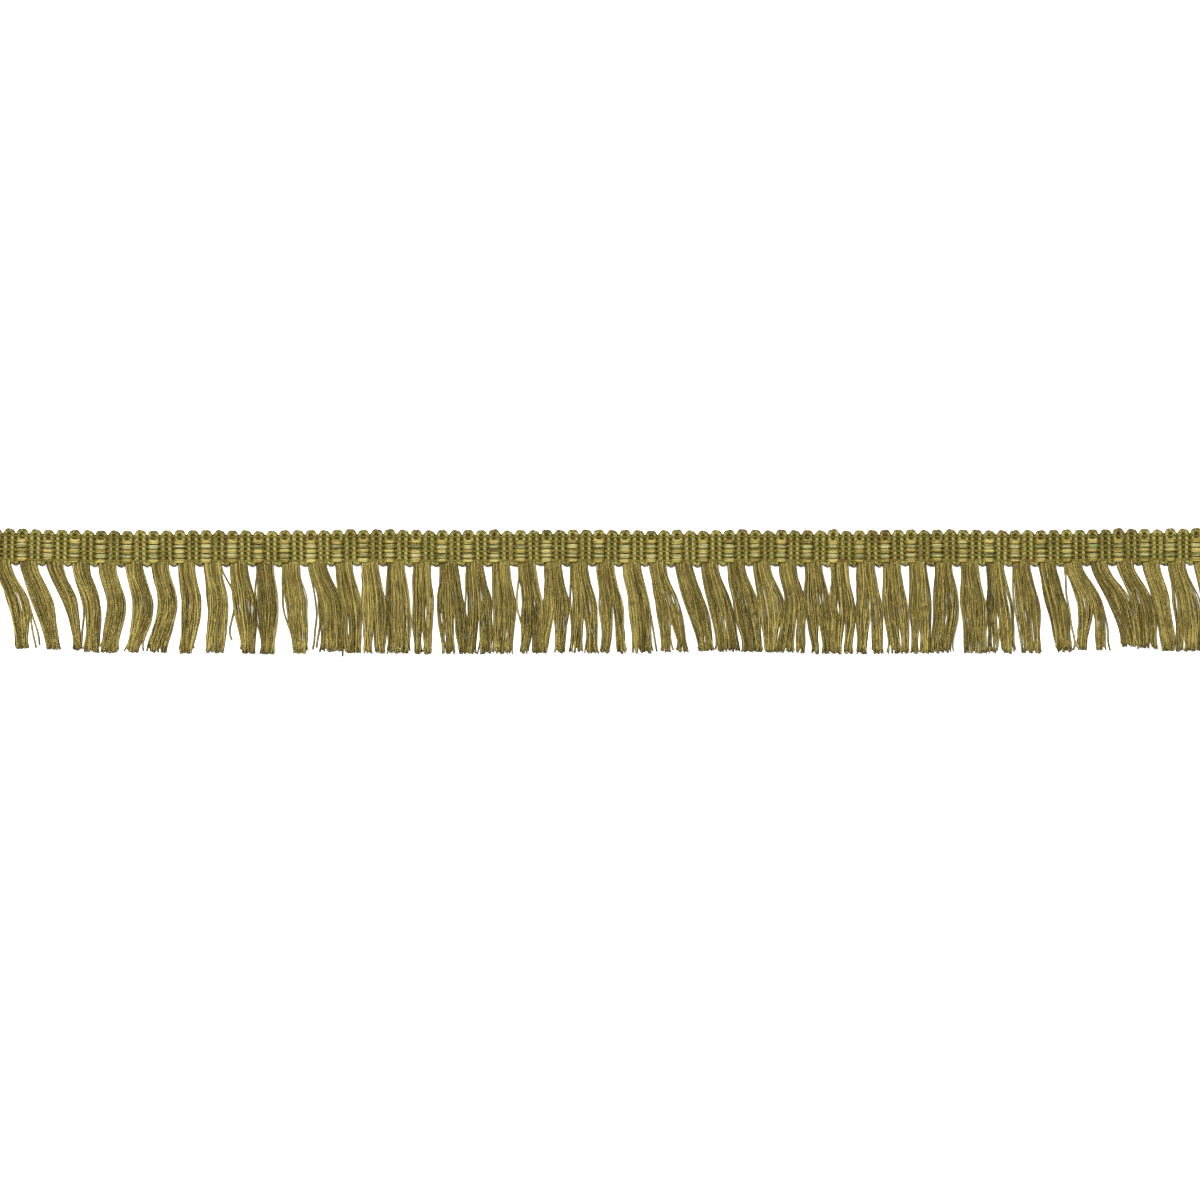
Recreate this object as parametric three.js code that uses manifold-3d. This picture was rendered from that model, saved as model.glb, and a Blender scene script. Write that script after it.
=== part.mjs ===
// A cut length of woven fringe trim, lying flat with its face up.
//
// A narrow braid is the heading. A thick weft cord runs up and down across it in hairpins: the
// upper turns stand out as a row of picots, the lower turns as small loops between the locks.
// Five laid yarns float over two legs of the cord and dive under the next two, so that blocks of
// floats take turns with pairs of bare ribs. The skirt is a row of cut locks, each parted into
// strands, whose roots are fused into a narrow strip tucked behind the heading's lower edge.
//
// Millimetres. X runs along the trim, Y towards the picots, Z out of the face. The origin is on
// the heading's flat back, in the middle of its length and of its cloth's width.

import * as THREE from "three";
import { mergeVertices } from "three/addons/utils/BufferGeometryUtils.js";
import Module from "manifold-3d";

const wasm = await Module();
wasm.setup();

// The whole trim
const REPEAT = 7.0; // one block of floats and one pair of ribs
const REPEATS = 47;
const LENGTH = REPEAT * REPEATS;
const BLOCK_AT = 0.25; // share of a repeat before the middle of its block
const CLEARANCE = 0.3; // between the two solids
const JOIN = 1e-4; // points nearer than this are one

// How the length lies: drawn out a little towards its middle, its ends swung up, with a shallow dip, faintly wavy
const EASE = 0.8;
const END_LIFT = 0.45;
const END_POWER = 5;
const RIPPLE = 0.08;
const RIPPLE_LENGTH = 52;
const RIPPLE_CREST = -64.5;
const DIP = 0.3;
const DIP_AT = -124;
const DIP_REACH = 19;

// The heading's cloth, with the weft cord's turns standing out of both its edges
const CLOTH_TOP = 3.7;
const CLOTH_FOOT = -4.1;
const CLOTH_THICK = 1.2;
const SINK = 0.2; // how deep what is raised on the cloth reaches into it
const TURN_AT = 3.45; // the middle of the half turns at the upper edge
const PICOT_RADIUS = 1.5;
const TURN_STEPS = 3; // straight pieces to a half turn
const LOOP = { drop: 0.65, root: 2.3, tip: 1.2 }; // one where each repeat ends

// The cord raised on the face: bare as a pair of ribs, or only its turn above the floats
const CORD_HIGH = 1.65;
const RIBS = { hollow: 0.4, foot: -3.65 };
const TURN = { hollow: 0, foot: 3.0 };

// The floats, five rows to a block
const FLOAT_ROWS = 5;
const FLOAT_PITCH = 1.25;
const FLOAT_MIDDLE = -0.82;
const FLOAT_LENGTH = 3.48;
const FLOAT_CREST_LENGTH = 2.5;
const FLOAT_WIDTH = 1.36; // at its sunk foot
const FLOAT_CREST = 1.95;

// The strip that holds the locks, and the rebate behind the heading's edge that takes it
const STRIP_TOP = -2.4;
const STRIP_FOOT = -4.1;
const STRIP_THICK = 0.4;
const SEAT = STRIP_TOP + CLEARANCE;

// The locks
const LOCK_FROM_BLOCK = 1.6; // along the trim, from a block's middle to its lock's
const LOCK_ROOT = 5.0;
const LOCK_LENGTH = 23.8; // along the yarn
const LOCK_MID = 0.48; // share of the length at which the table's mid and belly are taken
const LOCK_NECK = 0.12;
const NECK_SHARE = 0.15; // how far the neck has followed the mid
const STRANDS = 5;
const STRAND_FILL = 0.84; // share of its room that a strand's base takes
const STRAND_STEPS = [0, 0.3, 0.65, 1];
const STRAND_HEIGHTS = [0.36, 1.15, 1.1, 0.7];

// One row for each lock. tip and mid are how far its middle has moved along the trim there,
// belly and spread are its width there. Where share is under 1 the lock parts, with that share
// of its strands on the left, and gap is the room between the two tufts at the tip.
const LOCKS = [
  { tip: 5.8, mid: 4.6, belly: 5.5, spread: 2.8, share: 1, gap: 0 },
  { tip: 7.1, mid: 4.2, belly: 5.5, spread: 2.9, share: 1, gap: 0 },
  { tip: 6.5, mid: 4.5, belly: 3.7, spread: 1.5, share: 1, gap: 0 },
  { tip: 3.2, mid: 3.3, belly: 4.1, spread: 4.1, share: 1, gap: 0 },
  { tip: 0.6, mid: 2.4, belly: 5.0, spread: 4.2, share: 0.4, gap: 0.5 },
  { tip: -0.1, mid: 2.5, belly: 5.3, spread: 2.9, share: 1, gap: 0 },
  { tip: -0.9, mid: 1.9, belly: 5.0, spread: 5.3, share: 0.65, gap: 0.6 },
  { tip: 0.0, mid: 1.4, belly: 5.2, spread: 3.7, share: 1, gap: 0 },
  { tip: 0.7, mid: 1.7, belly: 5.1, spread: 5.1, share: 0.4, gap: 0.5 },
  { tip: 2.6, mid: 1.6, belly: 6.3, spread: 2.9, share: 1, gap: 0 },
  { tip: 0.6, mid: 0.7, belly: 5.8, spread: 2.9, share: 1, gap: 0 },
  { tip: 2.3, mid: 1.2, belly: 5.8, spread: 3.5, share: 0.75, gap: 0.3 },
  { tip: 3.7, mid: 3.5, belly: 5.6, spread: 4.8, share: 0.45, gap: 0.4 },
  { tip: 2.3, mid: 2.0, belly: 5.9, spread: 4.5, share: 1, gap: 0 },
  { tip: 1.2, mid: 1.2, belly: 6.3, spread: 6.1, share: 0.47, gap: 1.1 },
  { tip: 1.0, mid: 0.7, belly: 6.7, spread: 5.7, share: 0.45, gap: 0.6 },
  { tip: 0.4, mid: 0.3, belly: 5.4, spread: 4.3, share: 0.44, gap: 1.1 },
  { tip: 1.7, mid: 0.6, belly: 7.2, spread: 5.7, share: 0.54, gap: 1.3 },
  { tip: 0.9, mid: 1.1, belly: 6.9, spread: 6.8, share: 0.41, gap: 1.2 },
  { tip: 0.4, mid: 0.8, belly: 5.8, spread: 5.0, share: 0.53, gap: 0.6 },
  { tip: 0.9, mid: 1.3, belly: 5.8, spread: 5.6, share: 0.53, gap: 1.1 },
  { tip: -0.1, mid: 0.9, belly: 7.4, spread: 6.2, share: 0.44, gap: 2.8 },
  { tip: 1.5, mid: 1.6, belly: 6.6, spread: 7.4, share: 0.48, gap: 1.4 },
  { tip: 2.4, mid: 1.7, belly: 6.1, spread: 5.9, share: 0.58, gap: 2.3 },
  { tip: 3.0, mid: 2.2, belly: 5.5, spread: 5.0, share: 0.6, gap: 0.8 },
  { tip: 4.5, mid: 2.7, belly: 6.1, spread: 6.6, share: 0.45, gap: 1.9 },
  { tip: 5.8, mid: 3.2, belly: 5.6, spread: 3.8, share: 0.55, gap: 0.5 },
  { tip: 4.9, mid: 2.8, belly: 6.3, spread: 5.9, share: 0.75, gap: 0.4 },
  { tip: 4.6, mid: 2.3, belly: 6.3, spread: 5.3, share: 0.55, gap: 0.4 },
  { tip: 3.0, mid: 2.8, belly: 6.9, spread: 4.2, share: 1, gap: 0 },
  { tip: 1.6, mid: 2.3, belly: 5.4, spread: 6.4, share: 0.57, gap: 1.2 },
  { tip: 2.3, mid: 1.2, belly: 6.9, spread: 4.4, share: 0.47, gap: 1.3 },
  { tip: 0.7, mid: 1.1, belly: 6.2, spread: 5.5, share: 0.56, gap: 0.9 },
  { tip: 0.9, mid: 1.0, belly: 7.1, spread: 6.4, share: 0.5, gap: 1.8 },
  { tip: 1.9, mid: 0.8, belly: 6.6, spread: 5.3, share: 0.55, gap: 0.4 },
  { tip: 0.8, mid: 0.6, belly: 5.8, spread: 4.9, share: 0.42, gap: 1.1 },
  { tip: -0.5, mid: 0.7, belly: 6.9, spread: 5.8, share: 1, gap: 0 },
  { tip: 1.9, mid: 1.2, belly: 6.8, spread: 5.8, share: 0.75, gap: 0.4 },
  { tip: 1.9, mid: 1.3, belly: 6.9, spread: 7.0, share: 0.37, gap: 1.9 },
  { tip: 2.8, mid: 1.7, belly: 6.2, spread: 4.7, share: 1, gap: 0 },
  { tip: 4.3, mid: 2.4, belly: 5.4, spread: 4.1, share: 1, gap: 0 },
  { tip: 4.4, mid: 4.4, belly: 6.7, spread: 7.4, share: 0.6, gap: 2.6 },
  { tip: 8.3, mid: 5.3, belly: 6.1, spread: 4.4, share: 1, gap: 0 },
  { tip: 6.2, mid: 4.7, belly: 5.9, spread: 5.3, share: 0.6, gap: 0.5 },
  { tip: 4.8, mid: 3.0, belly: 4.5, spread: 3.5, share: 0.45, gap: 0.4 },
  { tip: 3.2, mid: 2.6, belly: 7.4, spread: 6.4, share: 0.6, gap: 0.3 },
  { tip: 4.0, mid: 3.0, belly: 5.6, spread: 4.8, share: 1, gap: 0 },
];

// How far the trim has moved across at a place along it.
function rise(x) {
  const ends = END_LIFT * Math.abs((2 * x) / LENGTH) ** END_POWER;
  const dip = DIP * Math.exp(-(((x - DIP_AT) / DIP_REACH) ** 2));
  return ends - dip + RIPPLE * Math.cos((2 * Math.PI * (x - RIPPLE_CREST)) / RIPPLE_LENGTH);
}

// Where a point of the straight trim lies. What ran straight across it stays square to it.
function laid(x, y) {
  const along = x + EASE * Math.sin((Math.PI * (x + LENGTH / 2)) / LENGTH);
  const slope = (rise(x + 1) - rise(x - 1)) / 2;
  return new THREE.Vector2(along - y * slope, y + rise(x));
}

function solidOf(geometry) {
  const bare = new THREE.BufferGeometry().setAttribute("position", geometry.getAttribute("position"));
  bare.setIndex(geometry.index);
  const merged = mergeVertices(bare, JOIN);
  return new wasm.Manifold(
    new wasm.Mesh({
      numProp: 3,
      vertProperties: new Float32Array(merged.attributes.position.array),
      triVerts: new Uint32Array(merged.index.array),
    }),
  );
}

// A solid through convex rings of points. Looking along the loft, each ring turns anticlockwise.
function loft(rings) {
  const size = rings[0].length;
  const last = (rings.length - 1) * size;
  const index = [];
  for (let ring = 0; ring < rings.length - 1; ring++) {
    for (let side = 0; side < size; side++) {
      const a = ring * size + side;
      const b = ring * size + ((side + 1) % size);
      index.push(a, a + size, b, b, a + size, b + size);
    }
  }
  for (let side = 1; side < size - 1; side++) {
    index.push(0, side, side + 1);
    index.push(last, last + side + 1, last + side);
  }
  const geometry = new THREE.BufferGeometry().setFromPoints(rings.flat());
  geometry.setIndex(index);
  return solidOf(geometry);
}

function slab(points, low, high) {
  const outline = new THREE.Shape(points.map(([x, y]) => new THREE.Vector2(x, y)));
  const geometry = new THREE.ExtrudeGeometry(outline, { depth: high - low, bevelEnabled: false });
  geometry.translate(0, 0, low);
  return solidOf(geometry);
}

// The cloth of one repeat, above the strip's rebate.
function cloth() {
  const corners = [
    [0, SEAT],
    [REPEAT, SEAT],
    [REPEAT, CLOTH_TOP],
    [0, CLOTH_TOP],
  ];
  return slab(corners, 0, CLOTH_THICK);
}

// The cloth in front of the strip, with half a loop at both ends of the repeat.
function flap() {
  const outline = [
    [0, CLOTH_FOOT - LOOP.drop],
    [LOOP.tip / 2, CLOTH_FOOT - LOOP.drop],
    [LOOP.root / 2, CLOTH_FOOT],
    [REPEAT - LOOP.root / 2, CLOTH_FOOT],
    [REPEAT - LOOP.tip / 2, CLOTH_FOOT - LOOP.drop],
    [REPEAT, CLOTH_FOOT - LOOP.drop],
    [REPEAT, SEAT],
    [0, SEAT],
  ];
  return slab(outline, STRIP_THICK + CLEARANCE, CLOTH_THICK);
}

// The half turn at a hairpin's top, from right to left.
function halfTurn(middle) {
  const angles = Array.from({ length: TURN_STEPS + 1 }, (_, i) => (Math.PI * i) / TURN_STEPS);
  return angles.map((a) => [middle + PICOT_RADIUS * Math.cos(a), TURN_AT + PICOT_RADIUS * Math.sin(a)]);
}

// The picot that stands out of the cloth's upper edge.
function picot(middle) {
  return slab(halfTurn(middle), 0, CLOTH_THICK);
}

// A hairpin of the cord, raised on the cloth with its two legs down.
function hairpin(middle, { hollow, foot }) {
  const inside = [
    [middle - hollow, foot],
    [middle - hollow, TURN_AT],
    [middle + hollow, TURN_AT],
    [middle + hollow, foot],
  ];
  const right = [middle + PICOT_RADIUS, foot];
  const left = [middle - PICOT_RADIUS, foot];
  const outline = [right, ...halfTurn(middle), left, ...(hollow > 0 ? inside : [])];
  return slab(outline, CLOTH_THICK, CORD_HIGH);
}

// One float of a block, with a crest along its middle.
function float(middle, row) {
  const y = FLOAT_MIDDLE + (row - (FLOAT_ROWS - 1) / 2) * FLOAT_PITCH;
  const ring = (end) => {
    const at = (length, across, z) => new THREE.Vector3(middle + (end * length) / 2, y + across, z);
    return [
      at(FLOAT_LENGTH, -FLOAT_WIDTH / 2, CLOTH_THICK - SINK),
      at(FLOAT_CREST_LENGTH, 0, FLOAT_CREST),
      at(FLOAT_LENGTH, FLOAT_WIDTH / 2, CLOTH_THICK - SINK),
    ];
  };
  return loft([ring(-1), ring(1)]);
}

// One repeat of the heading on the straight trim, from 0 to REPEAT, cut off square at both ends.
function headingRepeat() {
  const block = BLOCK_AT * REPEAT;
  const ribs = block + REPEAT / 2;
  const flat = [cloth(), flap(), picot(block), picot(ribs)];
  const raised = [hairpin(block, TURN), hairpin(ribs, RIBS)];
  for (let row = 0; row < FLOAT_ROWS; row++) raised.push(float(block, row));
  return wasm.Manifold.union([...flat, ...raised]);
}

// The heading: its repeats side by side, open where they meet, and laid as the trim lies.
function heading() {
  const made = headingRepeat().getMesh();
  const corner = (vertex) => made.vertProperties.subarray(vertex * made.numProp, vertex * made.numProp + 3);
  const points = [];
  for (let i = 0; i < REPEATS; i++) {
    for (let t = 0; t < made.triVerts.length; t += 3) {
      const triangle = [...made.triVerts.subarray(t, t + 3)].map(corner);
      const joined = (x) => triangle.every((point) => Math.abs(point[0] - x) < JOIN);
      if ((i > 0 && joined(0)) || (i < REPEATS - 1 && joined(REPEAT))) continue;
      for (const [x, y, z] of triangle) {
        const at = laid(i * REPEAT - LENGTH / 2 + x, y);
        points.push(new THREE.Vector3(at.x, at.y, z));
      }
    }
  }
  return mergeVertices(new THREE.BufferGeometry().setFromPoints(points), JOIN);
}

// The middle of a repeat's block of floats, on the straight trim.
function blockAt(repeat) {
  return (repeat + BLOCK_AT) * REPEAT - LENGTH / 2;
}

// Where across the lock a strand lies at the tip, given its place from 0 to 1 among the strands.
function atTip(lock, place) {
  const parted = place > lock.share ? lock.gap : 0;
  return lock.tip - lock.spread / 2 + place * (lock.spread - lock.gap) + parted;
}

// How far down the trim a lock reaches, as its bends take up some of the yarn.
function dropOf(lock) {
  const upper = LOCK_MID * LOCK_LENGTH;
  const lower = LOCK_LENGTH - upper;
  return LOCK_LENGTH - lock.mid ** 2 / (2 * upper) - (lock.tip - lock.mid) ** 2 / (2 * lower);
}

// One strand: its base lies level on the floor and its ridge runs down its middle.
function strand(lock, middle, index) {
  const drop = dropOf(lock);
  const path = (place) => {
    const root = (place - 0.5) * LOCK_ROOT;
    const mid = lock.mid + (place - 0.5) * lock.belly;
    const neck = root + NECK_SHARE * (mid - root);
    return new THREE.SplineCurve([
      laid(middle + root, STRIP_FOOT + CLEARANCE),
      laid(middle + neck, STRIP_FOOT - LOCK_NECK * drop),
      laid(middle + mid, STRIP_FOOT - LOCK_MID * drop),
      laid(middle + atTip(lock, place), STRIP_FOOT - drop),
    ]);
  };
  const half = (0.5 * STRAND_FILL) / STRANDS;
  const place = (index + 0.5) / STRANDS;
  const centre = path(place);
  const sideways = STRAND_STEPS.map((t) => {
    const width = THREE.MathUtils.lerp(LOCK_ROOT, lock.belly, Math.min(t / LOCK_MID, 1));
    const past = Math.max(0, (t - LOCK_MID) / (1 - LOCK_MID));
    return half * THREE.MathUtils.lerp(width, lock.spread - lock.gap, past);
  });
  const rings = STRAND_STEPS.map((t, i) => {
    const at = centre.getPointAt(t);
    return [
      new THREE.Vector3(at.x + sideways[i], at.y, 0),
      new THREE.Vector3(at.x - sideways[i], at.y, 0),
      new THREE.Vector3(at.x, at.y, STRAND_HEIGHTS[i]),
    ];
  });
  return loft(rings);
}

// The strip that holds the locks, with a section for each repeat.
function strip() {
  const corners = [
    [STRIP_FOOT, 0],
    [STRIP_FOOT, STRIP_THICK],
    [STRIP_TOP, STRIP_THICK],
    [STRIP_TOP, 0],
  ];
  const rings = Array.from({ length: REPEATS + 1 }, (_, i) =>
    corners.map(([y, z]) => {
      const at = laid(i * REPEAT - LENGTH / 2, y);
      return new THREE.Vector3(at.x, at.y, z);
    }),
  );
  return loft(rings);
}

function fringe() {
  const pieces = [strip()];
  LOCKS.forEach((lock, i) => {
    for (let s = 0; s < STRANDS; s++) pieces.push(strand(lock, blockAt(i) + LOCK_FROM_BLOCK, s));
  });
  const made = wasm.Manifold.union(pieces).getMesh();
  const geometry = new THREE.BufferGeometry();
  geometry.setAttribute("position", new THREE.BufferAttribute(made.vertProperties, 3));
  geometry.setIndex(new THREE.BufferAttribute(made.triVerts, 1));
  return geometry;
}

function meshOf(name, geometry, colour) {
  geometry.computeVertexNormals();
  const material = new THREE.MeshStandardMaterial({ color: colour, roughness: 0.85, metalness: 0 });
  const mesh = new THREE.Mesh(geometry, material);
  mesh.name = name;
  return mesh;
}

const trim = new THREE.Group();
trim.add(meshOf("heading", heading(), 0x85803d));
trim.add(meshOf("fringe", fringe(), 0x7b7238));

export default trim;
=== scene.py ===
"""A cut length of woven fringe trim that lies flat on a pale surface, face up.

The heading is built from its yarns: a two-ply weft cord that runs up and down in hairpins, laid
floats in yellow and sage, and thin binders that tie the cord down. The skirt is built yarn by
yarn, in locks. Sizes are in millimetres here, as in the part, and become metres in the meshes.
"""

import math

import bpy
import numpy as np
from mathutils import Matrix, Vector


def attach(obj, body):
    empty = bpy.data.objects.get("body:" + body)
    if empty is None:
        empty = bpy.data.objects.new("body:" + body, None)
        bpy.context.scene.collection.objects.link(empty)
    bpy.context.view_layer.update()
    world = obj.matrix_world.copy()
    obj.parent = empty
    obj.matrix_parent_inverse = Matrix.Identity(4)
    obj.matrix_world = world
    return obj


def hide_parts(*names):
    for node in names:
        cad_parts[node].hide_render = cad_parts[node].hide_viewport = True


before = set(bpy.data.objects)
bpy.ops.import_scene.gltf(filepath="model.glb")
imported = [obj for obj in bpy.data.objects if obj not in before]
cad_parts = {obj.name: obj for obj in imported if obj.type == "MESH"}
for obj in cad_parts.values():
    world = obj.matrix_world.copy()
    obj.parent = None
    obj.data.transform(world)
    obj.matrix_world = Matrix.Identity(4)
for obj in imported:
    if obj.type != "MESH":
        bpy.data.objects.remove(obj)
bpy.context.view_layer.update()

MM = 0.001
rng = np.random.default_rng(7)

# The whole trim
REPEAT = 7.0
REPEATS = 47
LENGTH = REPEAT * REPEATS
BLOCK_AT = 0.25  # share of a repeat before the middle of its block

# How the length lies: eased along in its middle, its ends swung up, with a dip and a ripple
EASE = 0.8
END_LIFT = 0.45
END_POWER = 5
RIPPLE = 0.08
RIPPLE_LENGTH = 52
RIPPLE_CREST = -64.5
DIP = 0.3
DIP_AT = -124
DIP_REACH = 19

# The photograph's frame
REPEAT_PIXELS = 26.08
PHOTO_PIXELS = 1200
PIXEL = REPEAT / REPEAT_PIXELS
VIEW_CENTRE = (-2.5 * PIXEL, -52 * PIXEL)
VIEW_WIDTH = PHOTO_PIXELS * PIXEL
CAMERA_HEIGHT = 1500
SENSOR = 36

# The dark sheet under the cords, which stands in for the shaded depth of the heading
SHEET_TOP = 3.68
SHEET_FOOT = -4.1
SHEET_LOW = 0.12
SHEET_HIGH = 0.72
SHEET_STATIONS = 4  # to a repeat

# The weft cord's plies
PLY = 0.5  # radius of one of its two plies
PLY_FREE = 1.04  # size of a ply half way between two rows of binders
PLY_TIED = 0.3  # how much smaller it is where the binders cross it
PLY_FLAT = 0.95  # its height for its width
PLY_OFFSET = 0.2  # from the cord's middle to a ply's
PLY_TURN = 2.5  # length of one full twist
CORD_PHASE = 0.4  # where the twist starts, in radians
COVERED_PHASE = 6  # under the floats it starts anywhere up to here
TWIST_FLAT = 0.85  # the twist's height for its width
CORD_STEP = 0.24

# The weft cord's way
LEG = 0.94  # from a hairpin's middle to its leg
PICOT = 1.03  # radius of the turn above the legs
LEG_TOP = 3.25
LEG_FOOT = -3.55
LEG_Z = 0.98
TURN_Z = 0.7
TURN_POWER = 0.6  # under 1 the turn drops soon after it leaves a leg
TURN_STEPS = 14
PRESSED = 0.14  # how far the binders press the cord down
TIED_POWER = 1.3  # over 1 the binders' grip is shorter than the bulge between them
LOOP_TURN = 0.82  # radius of the loop below the ribs
LOOP_FOOT = 0.05  # its middle is this far above the legs' feet
LOOP_Z = 0.66  # its height at the block
LOOP_RISE = 0.22  # and how much higher it leaves the ribs
LOOP_TUCK = 0.9  # its end runs up behind the block by this much
BURIED_Z = 0.6  # the cord's height behind a block
ENTRY = 0.5  # the cord comes in this far below the legs' feet
STRAIGHT = 0.3  # a leg runs straight from this far inside its ends
FOOT_DIP = 0.1  # how much lower a leg's foot is
END_DIP = 0.2  # the same for the last one, where the trim is cut
TURN_RISE = 0.03  # the turns above the blocks stand this much higher
COVERED_TOP = 2.2  # about where the legs dive under the floats
COVERED_Z = 0.8
COVERED_FOOT = 0.2  # their ends under the floats are this far above the bare legs' feet
DIVE_ABOVE = 0.6  # the dive starts this far above there
DIVE_BELOW = 0.3  # and ends this far below

# The floats and the binders
FLOAT_ROWS = 5
YELLOW_ROWS = (0, 2, 4)
SAGE_ROWS = (1, 3)
FLOAT_PITCH = 1.25
FLOAT_MIDDLE = -0.82
FLOAT_HALF = 1.42
FLOAT_Z = 1.72
FLOAT_YARN = 0.19
FLOAT_YARNS = (-0.36, 0.0, 0.36)
FLOAT_STEPS = 15
FLOAT_ROUND = 0.45  # how much lower the outer yarns lie, by the square of their offset
FLOAT_ARCH = 0.1  # the middle's height above the shoulders
FLOAT_GATHER = 0.35  # how much closer the yarns lie at the ends
DIVE = 0.95  # how deep the ends dive
DIVE_FROM = 0.58  # share of the half length at which they start to
DIVE_POWER = 1.5
BINDER_ROWS = 6  # one to each row of floats, and one above them
BINDER = 0.17
BINDER_TURN = 1.9
BINDER_OFFSET = 0.15
BINDER_FLAT = 0.6  # the twist's height for its width
BINDER_Z = 0.98
BINDER_ARCH = 0.36  # how far a binder rises over a leg of the cord
BINDER_ARCH_REACH = 0.45
BINDER_WAVER = 0.04  # a slow bend from side to side
BINDER_WAVER_RATE = 0.9
BINDER_STEP = 0.25
BINDER_SIDES = 5

# The locks
LOCK_FROM_BLOCK = 1.65
LOCK_ROOT = 4.75
LOCK_TOP = -3.3  # the yarns' hidden ends
LOCK_FOOT = -4.1  # where the lock comes out from under the heading
LOCK_LENGTH = 23.8
LOCK_NECK = 0.12  # share of the length at which a lock starts to bend
LOCK_MID = 0.48  # share of the length at which the table's mid and belly are taken
NECK_SHARE = 0.15  # of a yarn's way along the trim to its mid, done at the neck
TIP_SLOPE = 0.4  # the cut ends hang straighter than the bend above them
LOCK_YARNS = 36
YARN = 0.2
PLACES = (0.01, 0.99)  # the outermost places for a yarn in its lock
THICK = 1.35  # the lowest layer's yarns and the stray yarns are this much thicker
YARN_LAYERS = (0.0, 0.38, 0.74)
STRAY_LAYER = 0.25
YARN_SHARES = np.array(
    [0, 0.04, 0.09, 0.15, 0.22, 0.29, 0.36, 0.43, 0.5, 0.57, 0.64, 0.71, 0.78, 0.84, 0.9, 0.95, 1]
)
KNOTS = np.array([0, LOCK_NECK, LOCK_MID, 1.0])
SWAY_FROM = 0.15  # a yarn sways freely from this share of its length on
CURL_FROM = 0.84  # and its cut end curls from this one
FLARE = 0.2  # how far the outer yarns' cut ends turn outwards
TUCKED = 0.16  # share of the length over which the roots come down from under the heading
ROOT_RISE = 0.1  # and how far they come down
ROOT_LAYERS = 0.7  # the layers' heights under the heading, as a share
TIP_LAYERS = 0.25  # how much lower they are at the tip, as a share
CLEAR = 0.04  # from the floor to the lowest yarns
ROOT_CLEAR = 0.05  # the same for their hidden ends
HEAVE = 0.04  # a yarn rises and falls by this
HEAVE_RATE = 7
REACH = 1.025  # the longest yarns' length, for a lock's length of 1

# How uneven the work is: spreads in millimetres, unless a line says otherwise
UNEVEN_TOP = 0.1
UNEVEN_PICOT = 0.03
UNEVEN_LOOP = 0.07
UNEVEN_TWIST = 0.25  # in radians
UNEVEN_ROW = 0.04
UNEVEN_FLOAT = 0.06
UNEVEN_SLANT = 0.025
UNEVEN_PLACE = 0.25  # of a yarn's room in its lock
UNEVEN_MID = 0.03  # of the lock's belly
UNEVEN_TIP = 0.07  # of the lock's width at the tip
UNEVEN_LAYER = 0.05
UNEVEN_REACH = 0.034  # of the lock's length
UNEVEN_CURL = 0.32
SWAY = (0.08, 0.24)  # least and most
SWAY_WAVES = (0.8, 2.6)  # waves in a yarn's length
YARN_SIZES = (0.85, 1.1)  # for a size of 1
RUN_START = 20  # a tube's run starts anywhere up to here, so that no streaks line up

# How tints differ: 0 is the darkest colour of a yarn, and 1 is the lightest
CORD_TINT = (0.35, 0.65)
PLY_TINT = 0.05
# Painted highlight on a ply of the cord where it lies on top, and painted shade where it lies beneath
CORD_PAINTED_HIGHLIGHT = 0.26
# Painted shade on the cord where the binders cross and press it down
TIED_PAINTED_SHADE = 0.35
# Painted shade on the cord where it turns beyond the legs' ends, in the picots and the loops
TURN_PAINTED_SHADE = 0.4  # for each millimetre beyond the legs' ends
# Painted shade on the legs of the cord that run under the floats
COVERED_PAINTED_SHADE = 0.5
YELLOW_TINT = (0.55, 0.12)
SAGE_TINT = (0.6, 0.14)
FLOAT_YARN_TINT = (0.06, 0.22)
# Painted shade on the outer yarns of a float, which lie lower
FLOAT_SIDE_PAINTED_SHADE = 0.5
# Painted shade towards a float's ends, where they dive into the heading
FLOAT_END_PAINTED_SHADE = 0.6
BINDER_TINT = (0.3, 0.6)
LOCK_TINT = (0.12, 0.03)
LOCK_YARN_TINT = 0.16
STRAY_TINT = (-0.1, 0.25)

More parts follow.
